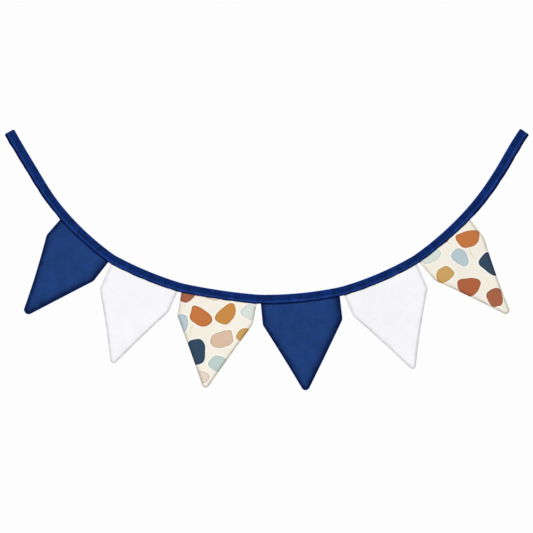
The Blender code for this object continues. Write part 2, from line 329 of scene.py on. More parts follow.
class Shade(Enum):
    """Dyed and printed colours, and the tints of painted light and shade, as sRGB."""

    BLUE = "#1F3E78"
    WHITE = "#F5F5F8"
    GROUND = "#F3EEE1"
    HALO = "#FBF8F0"
    TAPE_BAND = "#0D2863"
    # The ridge painted lighter, a painted highlight on the fold, and the painted shade of the lower edge.
    TAPE_RIDGE_LIT = "#18377A"
    TAPE_FOLD_HIGHLIGHT = "#0A3C96"
    TAPE_EDGE_SHADE = "#020A40"
    THREAD = "#17357C"
    NAVY = "#334A60"
    TERRACOTTA = "#B06341"
    ORANGE = "#C47741"
    MUSTARD = "#CBA260"
    OCHRE = "#C98C48"
    BROWN = "#A56448"
    MINT = "#BFD0CC"
    PALE_MINT = "#D7E1D9"
    BLUSH = "#DABDA4"
    PALE_BLUSH = "#E4D5C7"
    PALE_BLUE = "#B8C9D0"
    SPRIG = "#CBD7A0"
    FLOOR = "#F1F1EF"
    BACKDROP = "#FDFDFD"
    # Tints of the painted shade along a flag's rolled edge, then the painted highlight on its crest.
    BLUE_RIM_SHADE = "#808CA0"
    WHITE_RIM_SHADE = "#E6E5E9"
    CREAM_RIM_SHADE = "#E8E4DF"
    BLUE_LINE_SHADE = "#98B4EA"
    WHITE_LINE_SHADE = "#EBEBEE"
    CREAM_LINE_SHADE = "#DCDAD8"
    BLUE_CREST = "#0C3684"

    @property
    def light(self) -> tuple[float, float, float, float]:
        """The colour in linear light."""
        return linear(self.value)


class Mark(Enum):
    """Values kept on the meshes, which the finishes read: millimetres or a share."""

    EDGE = "edge_mm"
    # The right seam counts as nearer, so that the painted edge shade reaches further in on the right, the
    # side away from the light.
    SHADED_SIDE_EDGE = "shaded_mm"
    BELOW_TAPE = "under_mm"
    TAPE_SHARE = "up_share"
    ABOVE_LOWER_EDGE = "above_edge_mm"


@dataclass(frozen=True)
class Clouds:
    """Cloudy unevenness in a cloth: how large the clouds are, and how much detail is in them."""

    size_mm: float
    detail: float
    roughness: float = 0.55

    @property
    def feeds(self) -> tuple[float, float, float]:
        """What a noise is fed: its scale, its detail and its roughness."""
        return 1.0 / self.size_mm, self.detail, self.roughness


class ClothNodes:
    """The nodes of one cloth's finish, worked out by millimetres on the flat cloth."""

    ior = 1.47
    specular = 0.05
    # A yarn's unevenness is drawn out along it: this much slower than across it.
    yarn_draw = 0.05
    yarn_band = (0.7, 1.3)

    def __init__(self, name: str) -> None:
        """Start a material with its shader.

        Args:
            name: the finish's name.
        """
        self.material = bpy.data.materials.new(name)
        self.material.use_nodes = True
        self.tree = self.material.node_tree
        self.spot = self.add(Step.SCALED, self.add(Step.CLOTH_MAP, uv_map=UV_NAME), 1.0 / MM)

    def add(self, step: Step, *values: Any, **settings: Any) -> Socket:
        """Add one step."""
        return add_node(self.tree, step, *values, **settings)

    def product(self, *factors: Any) -> Socket:
        """Multiply factors.

        Args:
            factors: the values, or the sockets that hold them.

        Returns:
            Their product.
        """
        whole, *others = factors
        for factor in others:
            whole = self.add(Step.TIMES, whole, factor)
        return whole

    def apart(self, first: Any, second: Any) -> Socket:
        """How far two values lie from each other."""
        return self.add(Step.UNSIGNED, self.add(Step.LESS, first, second))

    def weave(self, pitch_mm: float, turn_deg: float) -> Socket:
        """Height of a plain weave: the product of two sines, one across each set of threads.

        Args:
            pitch_mm: from one thread to the next.
            turn_deg: the angle of the threads on the cloth.

        Returns:
            The height, from -1 to 1.
        """
        threads = self.add(Step.TURNED, self.spot, math.radians(turn_deg))
        ways = [self.product(self.add(axis, threads), math.pi / pitch_mm) for axis in (Step.X, Step.Y)]
        return self.product(*(self.add(Step.SINE, way) for way in ways))

    def yarns(self, width_mm: float, turn_deg: float, spread: float) -> Socket:
        """Uneven dye in the yarns: two noises, each drawn out along one set of threads.

        Args:
            width_mm: how wide the streaks are.
            turn_deg: the angle of the threads on the cloth.
            spread: how far the factor strays from one.

        Returns:
            The factor on the colour.
        """
        threads = self.add(Step.TURNED, self.spot, math.radians(turn_deg))
        scales = ((1.0, self.yarn_draw, 1.0), (self.yarn_draw, 1.0, 1.0))
        drawn = [self.add(Step.STRETCHED, threads, scale) for scale in scales]
        streaks = [self.add(Step.CLOUDS, spot, *Clouds(width_mm, 1.0).feeds) for spot in drawn]
        return self.add(Step.RAMP, self.add(Step.SUM, *streaks), *self.yarn_band, 1.0 - spread, 1.0 + spread)

    def finish(self, colour: Any, height_mm: Any, roughness: float) -> bpy.types.Material:
        """Join the colour and the relief to the shader.

        Args:
            colour: the cloth's colour.
            height_mm: relief of its surface, in millimetres.
            roughness: of the fibres.

        Returns:
            The material.
        """
        shader = self.tree.nodes["Principled BSDF"]
        self.tree.links.new(self.add(Step.RELIEF, height_mm, MM, 1.0), shader.inputs["Normal"])
        self.tree.links.new(colour, shader.inputs["Base Color"])
        shader.inputs["Roughness"].default_value = roughness
        shader.inputs["IOR"].default_value = self.ior
        shader.inputs["Specular IOR Level"].default_value = self.specular
        return self.material


@dataclass(frozen=True)
class PlainCotton:
    """Piece-dyed cotton poplin: an even matt colour with faint clouding and fine slubs.

    Near the rolled free edge, shade is painted into the colour: a dark rim, a broader soft shade, a fine line
    and a faint groove, and on a dark cloth a painted highlight along the crest.
    """

    name: str
    shade: Shade
    # How far the colour's factor strays from one.
    clouding: float
    # The rim is painted shade of the rolled edge: what its colour is multiplied by, how far in
    # from the free edge that reaches, and which of the flag's marks it is measured by.
    rim_shade_tint: Shade
    rim_mm: float
    rim_mark: Mark
    # A broad, fainter painted shade near the free edge, by millimetres from it.
    painted_edge_shade: Ramp
    # What the colour is multiplied by in the fine line of painted shade along the rolled edge.
    line_shade_tint: Shade
    # How far the colour dims over the seam groove: painted shade in the groove.
    groove_shade_dim: float
    # The tape's shade on the cloth, by millimetres below it.
    under_tape: Ramp = (0.0, 1.5, 1.0, 1.0)
    # The colour of the crest of a dark cloth's rolled edge, which catches the light.
    crest: Shade | None = None
    crest_reach: Ramp = (0.1, 1.9, 1.0, 0.0)
    line_reach: Ramp = (1.5, 4.0, 1.0, 0.0)
    # The line of painted shade is fainter on the short sides, near the tape.
    short_side: Ramp = (25.0, 50.0, 0.35, 1.0)
    line_clouds: Clouds = Clouds(15.0, 2.0)
    line_breaks: Ramp = (0.35, 0.65, 0.35, 1.0)
    # The rim's reach wanders by this share of it, either way from this middle of its clouds.
    rim_clouds: Clouds = Clouds(11.0, 2.0)
    rim_middle: float = 0.4
    rim_wander: float = 0.8
    groove_half_mm: tuple[float, float] = (0.2, 1.4)
    clouds: Clouds = Clouds(26.0, 4.0)
    cloud_band: tuple[float, float] = (0.3, 0.7)
    creases: Clouds = Clouds(14.0, 3.0)
    crease_mm: float = 0.3
    roughness: float = 0.88
    # Poplin has about 0.25 mm between threads.  It is drawn at 0.6 mm, so that it shows close up.
    thread_mm: float = 0.6
    thread_rise_mm: float = 0.018

    def ground(self, cloth: ClothNodes) -> Any:
        """The cloth's colour before the painted shade of its edges goes on."""
        return self.shade.light

    def _painted_edge(self, cloth: ClothNodes, edge: Socket, shaded: Socket, below_tape: Socket) -> Socket:
        """The ground's colour with the rolled edge's painted shade, rim and line, and its painted highlight,
        the crest, on it.

        Args:
            cloth: the finish's nodes.
            edge: millimetres from the free edge.
            shaded: the same, as the rim is measured.
            below_tape: millimetres below the tape.

        Returns:
            The colour.
        """
        wander = cloth.add(Step.CLOUDS, cloth.spot, *self.rim_clouds.feeds)
        uneven = cloth.add(Step.LESS, wander, self.rim_middle)
        inside = cloth.add(Step.LESS, shaded, cloth.product(uneven, self.rim_wander * self.rim_mm))
        # The rim: painted shade of the rolled edge, its reach made uneven.
        rim = cloth.add(Step.RAMP, inside, 0.0, self.rim_mm, 1.0, 0.0)
        colour = cloth.add(Step.TINTED, rim, self.ground(cloth), self.rim_shade_tint.light)
        breaks = cloth.add(Step.CLOUDS, cloth.spot, *self.line_clouds.feeds)
        # The fine line: painted shade along the rolled edge, fainter near the tape and broken here and there.
        line = cloth.product(
            cloth.add(Step.RAMP, edge, *self.line_reach),
            cloth.add(Step.RAMP, below_tape, *self.short_side),
            cloth.add(Step.RAMP, breaks, *self.line_breaks),
        )
        colour = cloth.add(Step.TINTED, line, colour, self.line_shade_tint.light)
        if self.crest:
            crest = cloth.add(Step.RAMP, edge, *self.crest_reach)
            colour = cloth.add(Step.MIXED, crest, colour, self.crest.light)
        return colour

    def material(self) -> bpy.types.Material:
        """Work the finish out.

        Returns:
            The finished material.
        """
        cloth = ClothNodes(self.name)
        marks = (Mark.EDGE, self.rim_mark, Mark.BELOW_TAPE)
        edge, shaded, below_tape = (cloth.add(Step.MARK, attribute_name=mark.value) for mark in marks)
        weave = cloth.weave(self.thread_mm, 0.0)
        clouds = cloth.add(Step.CLOUDS, cloth.spot, *self.clouds.feeds)
        creases = cloth.add(Step.CLOUDS, cloth.spot, *self.creases.feeds)
        stray, slight = self.clouding, 0.5 * self.clouding
        off_groove = cloth.apart(edge, SEAM_GROOVE_MM)
        shade = cloth.product(
            cloth.add(Step.RAMP, clouds, *self.cloud_band, 1.0 - stray, 1.0 + stray),
            cloth.yarns(2.0 * self.thread_mm, 0.0, slight),
            # darker where the weave lies low, lighter where it rises: painted shade and light on the threads
            cloth.add(Step.RAMP, weave, -1.0, 1.0, 1.0 - slight, 1.0 + slight),
            # a broad painted shade near the free edge
            cloth.add(Step.RAMP, shaded, *self.painted_edge_shade),
            # painted shade in the seam groove
            cloth.add(Step.RAMP, off_groove, *self.groove_half_mm, self.groove_shade_dim, 1.0),
            cloth.add(Step.RAMP, below_tape, *self.under_tape),
        )
        colour = cloth.add(Step.SCALED, self._painted_edge(cloth, edge, shaded, below_tape), shade)
        relief = (cloth.product(weave, self.thread_rise_mm), cloth.product(creases, self.crease_mm))
        return cloth.finish(colour, cloth.add(Step.SUM, *relief), self.roughness)


REPEAT_MM = (160.0, 150.0)
# Past any print: the repeat isn't wrapped in the third direction.
NO_REPEAT_MM = 1.0e4


@dataclass(frozen=True)
class Motif:
    """One motif of the printed repeat."""

    shade: Shade
    x_mm: float
    y_mm: float
    turn_deg: float

    def way(self, cloth: ClothNodes, spot: Socket) -> Socket:
        """The way from the motif's nearest middle in the repeat.

        Args:
            cloth: the finish's nodes.
            spot: the place on the print.

        Returns:
            The way, by the motif's own axes.
        """
        half = (0.5 * REPEAT_MM[0], 0.5 * REPEAT_MM[1], NO_REPEAT_MM)
        away = cloth.add(Step.AWAY, spot, (self.x_mm, self.y_mm, 0.0))
        near = cloth.add(Step.WRAPPED, away, half, tuple(-value for value in half))
        return cloth.add(Step.TURNED, near, math.radians(self.turn_deg))


@dataclass(frozen=True)
class Sprig(Motif):
    """A thin arc: where the distance from a circle is small, on the side that it faces."""

    radius_mm: float
    # The ink by millimetres off the line, and by the cosine of the angle from the way it faces.
    ink: Ramp = (0.225, 0.9, 0.85, 0.0)
    arc: Ramp = (0.55, 0.9, 0.0, 1.0)

    def stamp(self, cloth: ClothNodes, spot: Socket, below: Any) -> Socket:
        """Print the arc.

        Args:
            cloth: the finish's nodes.
            spot: the place on the print.
            below: the colour that is printed over.

        Returns:
            The colour with the arc on it.
        """
        way = self.way(cloth, spot)
        length = cloth.add(Step.LENGTH, way)
        line = cloth.add(Step.RAMP, cloth.apart(length, self.radius_mm), *self.ink)
        facing = cloth.add(Step.OVER, cloth.add(Step.X, way), length)
        share = cloth.product(line, cloth.add(Step.RAMP, facing, *self.arc))
        return cloth.add(Step.MIXED, share, below, self.shade.light)


@dataclass(frozen=True)
class Pebble(Motif):
    """A leaning superellipse: where (|x/a|^n + |y/b|^n)^(1/n) is under one.

    Its x is first bent by the square of y, and then widened along y where it leans.
    """

    half_width_mm: float
    half_height_mm: float
    squareness: float
    lean: float
    bend: float
    # By millimetres outside the pebble: its ink, the ink's slight dimming at its rim, and the
    # pale unprinted halo.
    ink: Ramp = (-0.4, 0.4, 1.0, 0.0)
    rim: Ramp = (-2.4, -0.4, 1.0, 0.86)
    halo: Ramp = (1.0, 2.0, 1.0, 0.0)
    # It narrows no further than this share of its width.
    narrowest: float = 0.2

    def stamp(self, cloth: ClothNodes, spot: Socket, below: Any) -> Socket:
        """Print the pebble.

        Args:
            cloth: the finish's nodes.
            spot: the place on the print.
            below: the colour that is printed over.

        Returns:
            The colour with the pebble and its halo on it.
        """
        way = self.way(cloth, spot)
        across = cloth.add(Step.OVER, cloth.add(Step.X, way), self.half_width_mm)
        up = cloth.add(Step.OVER, cloth.add(Step.Y, way), self.half_height_mm)
        bent = cloth.add(Step.SUM, across, cloth.product(up, up, self.bend))
        leaning = cloth.add(Step.GREATER, cloth.add(Step.TIMES_PLUS, up, self.lean, 1.0), self.narrowest)
        sides = (cloth.add(Step.OVER, bent, leaning), up)
        powers = [cloth.add(Step.POWER, cloth.add(Step.UNSIGNED, side), self.squareness) for side in sides]
        reach = cloth.add(Step.POWER, cloth.add(Step.SUM, *powers), 1.0 / self.squareness)
        narrow = min(self.half_width_mm, self.half_height_mm)
        outside = cloth.product(cloth.add(Step.LESS, reach, 1.0), narrow)
        inked, rim, pale = (cloth.add(Step.RAMP, outside, *ramp) for ramp in (self.ink, self.rim, self.halo))
        colour = cloth.add(Step.MIXED, pale, below, Shade.HALO.light)
        return cloth.add(Step.MIXED, inked, colour, cloth.add(Step.SCALED, self.shade.light[:3], rim))


# Each motif has its shade, its middle and its turn; a sprig then its radius, and a pebble its half
# size, squareness, lean and bend.  Later ones lie over earlier ones.
MOTIFS = (
    Sprig(Shade.SPRIG, 84.0, 40.0, 40.0, 24.0),
    Sprig(Shade.SPRIG, 34.0, 70.0, 200.0, 28.0),
    Sprig(Shade.SPRIG, 128.0, 104.0, 300.0, 22.0),
    Pebble(Shade.NAVY, 22.0, 34.0, -12.0, 15.5, 23.0, 3.2, 0.12, 0.00),
    Pebble(Shade.MINT, 70.0, 17.0, 14.0, 23.0, 13.5, 2.3, -0.20, 0.22),
    Pebble(Shade.TERRACOTTA, 124.0, 30.0, 38.0, 20.0, 17.0, 2.6, 0.30, 0.00),
    Pebble(Shade.BLUSH, 64.0, 62.0, -28.0, 21.0, 15.0, 2.7, 0.14, -0.15),
    Pebble(Shade.MUSTARD, 106.0, 76.0, 8.0, 15.5, 13.0, 3.4, -0.26, 0.00),
    Pebble(Shade.PALE_BLUE, 147.0, 80.0, -10.0, 12.5, 17.0, 2.4, 0.16, 0.10),
    Pebble(Shade.ORANGE, 20.0, 96.0, 26.0, 21.0, 15.5, 2.8, 0.22, 0.14),
    Pebble(Shade.OCHRE, 66.0, 108.0, -50.0, 20.0, 14.0, 2.8, 0.28, 0.00),
    Pebble(Shade.PALE_MINT, 110.0, 118.0, 20.0, 18.0, 13.0, 2.3, -0.22, 0.25),
    Pebble(Shade.BROWN, 148.0, 134.0, 24.0, 14.0, 16.5, 2.9, 0.18, 0.00),
    Pebble(Shade.PALE_BLUSH, 32.0, 140.0, 6.0, 19.0, 11.0, 2.4, 0.12, -0.20),
)


@dataclass(frozen=True)
class PebbleCotton(PlainCotton):
    """Cream cotton printed with flat pigment pebbles, each with a pale unprinted rim.

    The repeat is a generic one, charted in MOTIFS.
    """

    shift_mm: tuple[float, float] = (0.0, 0.0)
    # The screens' outlines waver a little: how far, and by waves of what size.
    waver_mm: float = 3.0
    waver_size_mm: float = 24.0

    def ground(self, cloth: ClothNodes) -> Any:
        """Print every motif on the cream.

        Args:
            cloth: the finish's nodes.

        Returns:
            The printed colour.
        """
        placed = cloth.add(Step.MOVED, cloth.spot, (*self.shift_mm, 0.0))
        drift = cloth.add(Step.DRIFT, placed, 1.0 / self.waver_size_mm, 1.0)
        waver = cloth.add(Step.SCALED, cloth.add(Step.AWAY, drift, (0.5, 0.5, 0.5)), 2.0 * self.waver_mm)
        spot = cloth.add(Step.MOVED, placed, waver)
        printed: Any = self.shade.light
        for motif in MOTIFS:
            printed = motif.stamp(cloth, spot, printed)
        return printed


@dataclass(frozen=True)
class BiasBinding:
    """Folded bias binding of navy cotton: cut at 45 degrees to its threads and pressed hard.

    The pressed band above the seam is its own deeper navy.  Light and shade are painted on: the
    soft ridge below the seam lighter, as lit from above, on top of its raised relief; a highlight
    along the fold; shade in the seam line and in gathered puckers; and the rolled lower edge darkest.
    """

    name: str = "bias_binding_cotton"
    # By the share of the tape's width: the ridge's colour, painted lighter as lit from above, the fold's
    # painted highlight, and the painted shade in the seam.
    ridge: Ramp = (0.28, 0.40, 1.0, 0.0)
    fold: Ramp = (0.86, 0.97, 0.0, 1.0)
    seam: Ramp = (0.01, 0.08, 0.85, 1.0)
    # The painted shade of the rolled lower edge, by millimetres above it.
    lower_edge_shade: Ramp = (0.8, 3.4, 0.95, 0.0)
    clouds: Clouds = Clouds(17.0, 3.0)
    cloud_shade: Ramp = (0.25, 0.75, 0.74, 1.30)
    # Painted shade of gathered creases across the tape: clouds drawn out to this share of their frequency.
    puckers: Clouds = Clouds(9.0, 2.0)
    pucker_draw: float = 0.25
    pucker_shade: Ramp = (0.35, 0.7, 0.82, 1.18)
    creases: Clouds = Clouds(8.0, 3.0)
    crease_mm: float = 0.25
    dimples: Ramp = (0.0, 0.12, 0.12, 0.0)
    # Binding cloth has about 0.3 mm between threads.  It is drawn at 0.7 mm, to show close up.
    thread_mm: float = 0.7
    thread_rise_mm: float = 0.02
    thread_turn_deg: float = 45.0
    yarn_spread: float = 0.08
    stitch_mm: float = 2.8
    roughness: float = 0.85

    def material(self) -> bpy.types.Material:
        """Work the finish out.

        Returns:
            The finished material.
        """
        cloth = ClothNodes(self.name)
        marks = (Mark.TAPE_SHARE, Mark.ABOVE_LOWER_EDGE)
        up, above_edge = (cloth.add(Step.MARK, attribute_name=mark.value) for mark in marks)
        off_seam = cloth.apart(up, STITCH_SHARE)
        ridge, fold = (cloth.add(Step.RAMP, up, *ramp) for ramp in (self.ridge, self.fold))
        lower = cloth.add(Step.RAMP, above_edge, *self.lower_edge_shade)
        # the ridge painted lighter, as lit from above
        colour = cloth.add(Step.MIXED, ridge, Shade.TAPE_BAND.light, Shade.TAPE_RIDGE_LIT.light)
        # a painted highlight along the fold
        colour = cloth.add(Step.MIXED, fold, colour, Shade.TAPE_FOLD_HIGHLIGHT.light)
        # the painted shade of the rolled lower edge
        colour = cloth.add(Step.MIXED, lower, colour, Shade.TAPE_EDGE_SHADE.light)
        drawn = cloth.add(Step.STRETCHED, cloth.spot, (1.0, self.pucker_draw, 1.0))
        puckers = cloth.add(Step.CLOUDS, drawn, *self.puckers.feeds)
        clouds, creases = (
            cloth.add(Step.CLOUDS, cloth.spot, *clouds.feeds) for clouds in (self.clouds, self.creases)
        )
        shade = cloth.product(
            cloth.add(Step.RAMP, clouds, *self.cloud_shade),
            # painted shade of the puckers
            cloth.add(Step.RAMP, puckers, *self.pucker_shade),
            # painted shade in the seam line
            cloth.add(Step.RAMP, off_seam, *self.seam),
            cloth.yarns(2.0 * self.thread_mm, self.thread_turn_deg, self.yarn_spread),
        )
        threads = cloth.product(cloth.weave(self.thread_mm, self.thread_turn_deg), self.thread_rise_mm)
        creases = cloth.product(creases, self.crease_mm)
        # A dent where each stitch draws the cloth in: a cosine along the seam, fading away from it.
        along = cloth.product(cloth.add(Step.X, cloth.spot), 2.0 * math.pi / self.stitch_mm)
        dimples = cloth.product(cloth.add(Step.COSINE, along), cloth.add(Step.RAMP, off_seam, *self.dimples))
        height = cloth.add(Step.SUM, threads, cloth.add(Step.SUM, creases, dimples))
        return cloth.finish(cloth.add(Step.SCALED, colour, shade), height, self.roughness)


@dataclass(frozen=True)
class SewingThread:
    """Mercerised cotton sewing thread: two plies twisted, a little brighter than the cloth."""

    name: str = "sewing_thread"
    # A ply turns once in about 0.8 mm of thread.
    twist_mm: float = 0.8
    twist_rise_mm: float = 0.03
    # The plies are darker in the troughs between them: painted shade.
    ply_shade: Ramp = (-1.0, 1.0, 0.75, 1.1)
    roughness: float = 0.55

    def material(self) -> bpy.types.Material:
        """Work the finish out.

        Returns:
            The finished material.
        """
        cloth = ClothNodes(self.name)
        slant = cloth.add(Step.SUM, cloth.add(Step.X, cloth.spot), cloth.add(Step.Y, cloth.spot))
        plies = cloth.add(Step.SINE, cloth.product(slant, 2.0 * math.pi / self.twist_mm))
        colour = cloth.add(Step.SCALED, Shade.THREAD.light[:3], cloth.add(Step.RAMP, plies, *self.ply_shade))
        return cloth.finish(colour, cloth.product(plies, self.twist_rise_mm), self.roughness)


# ------------------------------------------------------------------ the tape


@dataclass
class Tape:
    """The folded binding: a strip folded over the flags' tops, with its ends turned in.

    It is a U in section.  The outer skin runs from the front leaf's lower edge up over the fold
    and down to the back leaf's lower edge, and the inner skin runs back inside it.
    """

    fold: Fold
    finish: BiasBinding
    # These four go by the distance along the fold.
    width_mm: Table = (
        (0.0, 19.9), (60.0, 19.1), (110.0, 18.8), (165.0, 18.0), (240.0, 17.3), (430.0, 16.7),
        (500.0, 16.2), (565.0, 16.8), (714.0, 16.5), (800.0, 16.3), (905.0, 16.1), (962.0, 17.3),
        (985.0, 18.6), (1017.0, 19.3), (1102.0, 20.1), (1158.0, 19.8),
    )
    thickness_mm: Table = (
        (0.0, 3.0), (13.0, 3.0), (17.0, 2.5), (160.0, 2.5), (178.0, 3.8),
        (976.0, 3.8), (994.0, 2.5), (1141.0, 2.5), (1145.0, 3.0), (1158.0, 3.0),
    )
    pocket_mm: Table = ((0.0, 0.1), (170.0, 0.1), (182.0, 1.7), (972.0, 1.7), (984.0, 0.1), (1158.0, 0.1))
    # How much of the lower edge counts as rolled under, which moves its painted shade higher: more where no
    # flag fills the tape.
    rolled_mm: Table = ((0.0, 1.9), (150.0, 1.9), (185.0, 0.0), (965.0, 0.0), (1000.0, 1.9), (1158.0, 1.9))
    # Relief of the front leaf, by the share of its width; the seam lies at STITCH_SHARE.
    front_relief_mm: Table = (
        (0.00, -0.35), (0.12, 0.22), (0.25, 0.48), (0.34, 0.18),
        (0.40, -0.45), (0.50, -0.08), (0.75, 0.06), (1.00, 0.00),
    )
    # The back leaf's seam is this much as deep as the front's.
    back_relief: float = 0.35
    ridge_waves: Waves = ((27.0, 20.0, 0.20), (41.0, 130.0, 0.16), (17.5, 260.0, 0.12), (11.3, 75.0, 0.08))
    ridge_share: float = 0.2
    ridge_spread: float = 0.16
    edge_waves: Waves = ((27.0, 20.0, 0.16), (41.0, 130.0, 0.18), (17.5, 260.0, 0.08))
    edge_waves_share: float = 0.3
    station_mm: float = 1.6
    end_corner_mm: float = 3.0
    end_stations: int = 7
    # The tape is pressed this much thinner at its very ends.
    end_thinning: float = 0.3
    edge_round_mm: float = 0.5
    side_points: int = 22
    # How far the points of a side crowd to its ends: nought is even, one is a cosine.
    side_crowding: float = 0.55
    fold_points: int = 9
    calm_mm: float = 20.0
    uv_step: float = 0.02
    uv_width_mm: float = 17.0

    def stations(self) -> Array:
        """Distances along the fold: close together in the rounded ends, then even.

        Returns:
            The distances, rising.
        """
        turn = np.linspace(0.0, np.pi / 2, self.end_stations)
        end = self.end_corner_mm * (1.0 - np.cos(turn))
        inner = self.fold.length - 2.0 * self.end_corner_mm
        middle = np.linspace(0.0, inner, int(inner / self.station_mm) + 1)[1:-1] + self.end_corner_mm
        return np.concatenate([end, middle, self.fold.length - end[::-1]])

    @staticmethod
    def seam_share(height: Array, width: Array) -> Array:
        """The height on a leaf as a share that is STITCH_SHARE at the seam and 1 at the fold.

        Args:
            height: millimetres above the lower edge.
            width: the tape's width there.

        Returns:
            The share, which rises evenly below the seam and evenly above it.
        """
        seam = width - SEAM_BELOW_MM
        above = STITCH_SHARE + (1.0 - STITCH_SHARE) * (height - seam) / (width - seam)
        return np.where(height < seam, STITCH_SHARE * height / seam, above)

    def _outline(self) -> tuple[Array, Array]:
        """Heights and sides round the outer skin: up the front, over the fold, down the back.

        Returns:
            The share of the straight side climbed, from nought to one, and an angle that is
            nought on the front, rises over the fold and is pi on the back.
        """
        even = np.linspace(0.0, 1.0, self.side_points)
        crowded = 0.5 - 0.5 * np.cos(np.pi * even)
        climb = self.side_crowding * crowded + (1.0 - self.side_crowding) * even
        over = np.linspace(0.0, np.pi, self.fold_points + 2)[1:-1]
        share = np.concatenate([climb, np.ones(self.fold_points), climb[::-1]])
        angle = np.concatenate([np.zeros(self.side_points), over, np.full(self.side_points, np.pi)])
        return share, angle

    def skins(self) -> tuple[Array, Array, Array, Array]:
        """The two skins as stations by section points by (x, y, z).

        Each leaf stands half the thickness off the middle plane.  The fold is a half circle of
        that radius, and the inner skin keeps the leaf's own thickness inside the outer one.

        Returns:
            The outer skin, the inner skin, the share of the width climbed, and the stations.
        """
        at = self.stations()[:, None]
        share, angle = self._outline()
        side, over_fold = np.cos(angle), angle * (np.pi - angle) > 0.0
        width = eased(self.width_mm, at)
        radius = 0.5 * eased(self.thickness_mm, at)
        leaf = radius - 0.5 * eased(self.pocket_mm, at)
        from_end = np.minimum(at, self.fold.length - at)
        gone = self.end_corner_mm - np.minimum(from_end, self.end_corner_mm)
        corner = self.end_corner_mm - np.sqrt(self.end_corner_mm**2 - gone**2)
        thin = 1.0 - self.end_thinning * gone / self.end_corner_mm
        calm = np.clip(from_end / self.calm_mm, 0.0, 1.0)
        straight = width - 2.0 * corner - radius
        skins = []
        for inset in (0.0, 1.0):
            reach = radius - inset * leaf
            height = corner + straight * share + reach * np.sin(angle)
            up = self.seam_share((height - corner) / (width - 2.0 * corner) * width, width)
            lower = np.minimum(height - corner, self.edge_round_mm) / self.edge_round_mm
            rounded = np.where(over_fold, 1.0, rounded_off(lower))
            leaf_middle = radius - 0.5 * leaf
            off = leaf_middle + (reach - leaf_middle) * rounded
            hump = np.exp(-(((up - self.ridge_share) / self.ridge_spread) ** 2))
            relief = eased(self.front_relief_mm, up) + calm * waves(self.ridge_waves, at) * hump
            relief = relief * (1.0 - inset) * rounded
            front = np.where(side > 0.0, off + relief, 0.0)
            back = np.where(side < 0.0, off + self.back_relief * np.minimum(relief, 0.0), 0.0)
            forward = np.where(over_fold, radius + reach * side, radius + front - back) * thin
            near_edge = np.clip(1.0 - up / self.edge_waves_share, 0.0, 1.0)
            height = height + calm * waves(self.edge_waves, at) * near_edge
            x, z = self.fold.point(at + 0.0 * height, width - height)
            skins.append(np.stack([x, -forward - eased(SWAY_MM, x), z], axis=2))
        return skins[0], skins[1], up, at

    def build(self) -> bpy.types.Object:
        """Make the tape's mesh and dress it.

        Returns:
            The tape.
        """
        outer, inner, up, at = self.skins()
        rows, columns = outer.shape[:2]
        count = rows * columns
        points = np.concatenate([outer.reshape(-1, 3), inner.reshape(-1, 3)])
        quads = [grid_quads(rows, columns, 0, True), grid_quads(rows, columns, count, False)]
        quads.append(self._end_cap(0, count, columns, False))
        quads.append(self._end_cap(count - columns, count, columns, True))
        across = np.cumsum(np.r_[0.0, np.abs(np.diff(up[rows // 2])) + self.uv_step]) * self.uv_width_mm
        flat = np.stack(np.broadcast_arrays(at, across), axis=2).reshape(-1, 2)
        seam_up = eased(self.width_mm, at) - SEAM_BELOW_MM
        above_edge = up * seam_up / STITCH_SHARE - eased(self.rolled_mm, at)
        kept = {Mark.TAPE_SHARE: up, Mark.ABOVE_LOWER_EDGE: above_edge}
        marks = {mark.value: np.tile(values.reshape(-1), 2) for mark, values in kept.items()}
        piece = make_piece("folded_binding_tape", points, np.concatenate(quads), np.tile(flat, (2, 1)), marks)
        piece.data.materials.append(self.finish.material())
        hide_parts("binding_tape")
        return piece

    def opened_size(self) -> tuple[float, float]:
        """Size of the folded tape opened once: two leaves, along the middle of their width.

        Returns:
            Its width and length, in metres.
        """
        at = self.stations()
        width = eased(self.width_mm, at)
        x, z = self.fold.point(at, 0.5 * width)
        length = float(np.hypot(np.diff(x), np.diff(z)).sum())
        return 2.0 * float(np.average(width, weights=np.gradient(at))) * MM, length * MM

    @staticmethod
    def _end_cap(first: int, count: int, columns: int, flipped: bool) -> Array:
        """Join the outer skin to the inner one at an end.

        Args:
            first: the number of the outer skin's first point there.
            count: points in a skin.
            columns: points at a station.
            flipped: turn each face to the other side.

        Returns:
            An array of quads by four corners.
        """
        outer = first + np.arange(columns - 1)
        quads = np.stack([outer, outer + 1, outer + 1 + count, outer + count], axis=1)
        return quads[:, ::-1] if flipped else quads


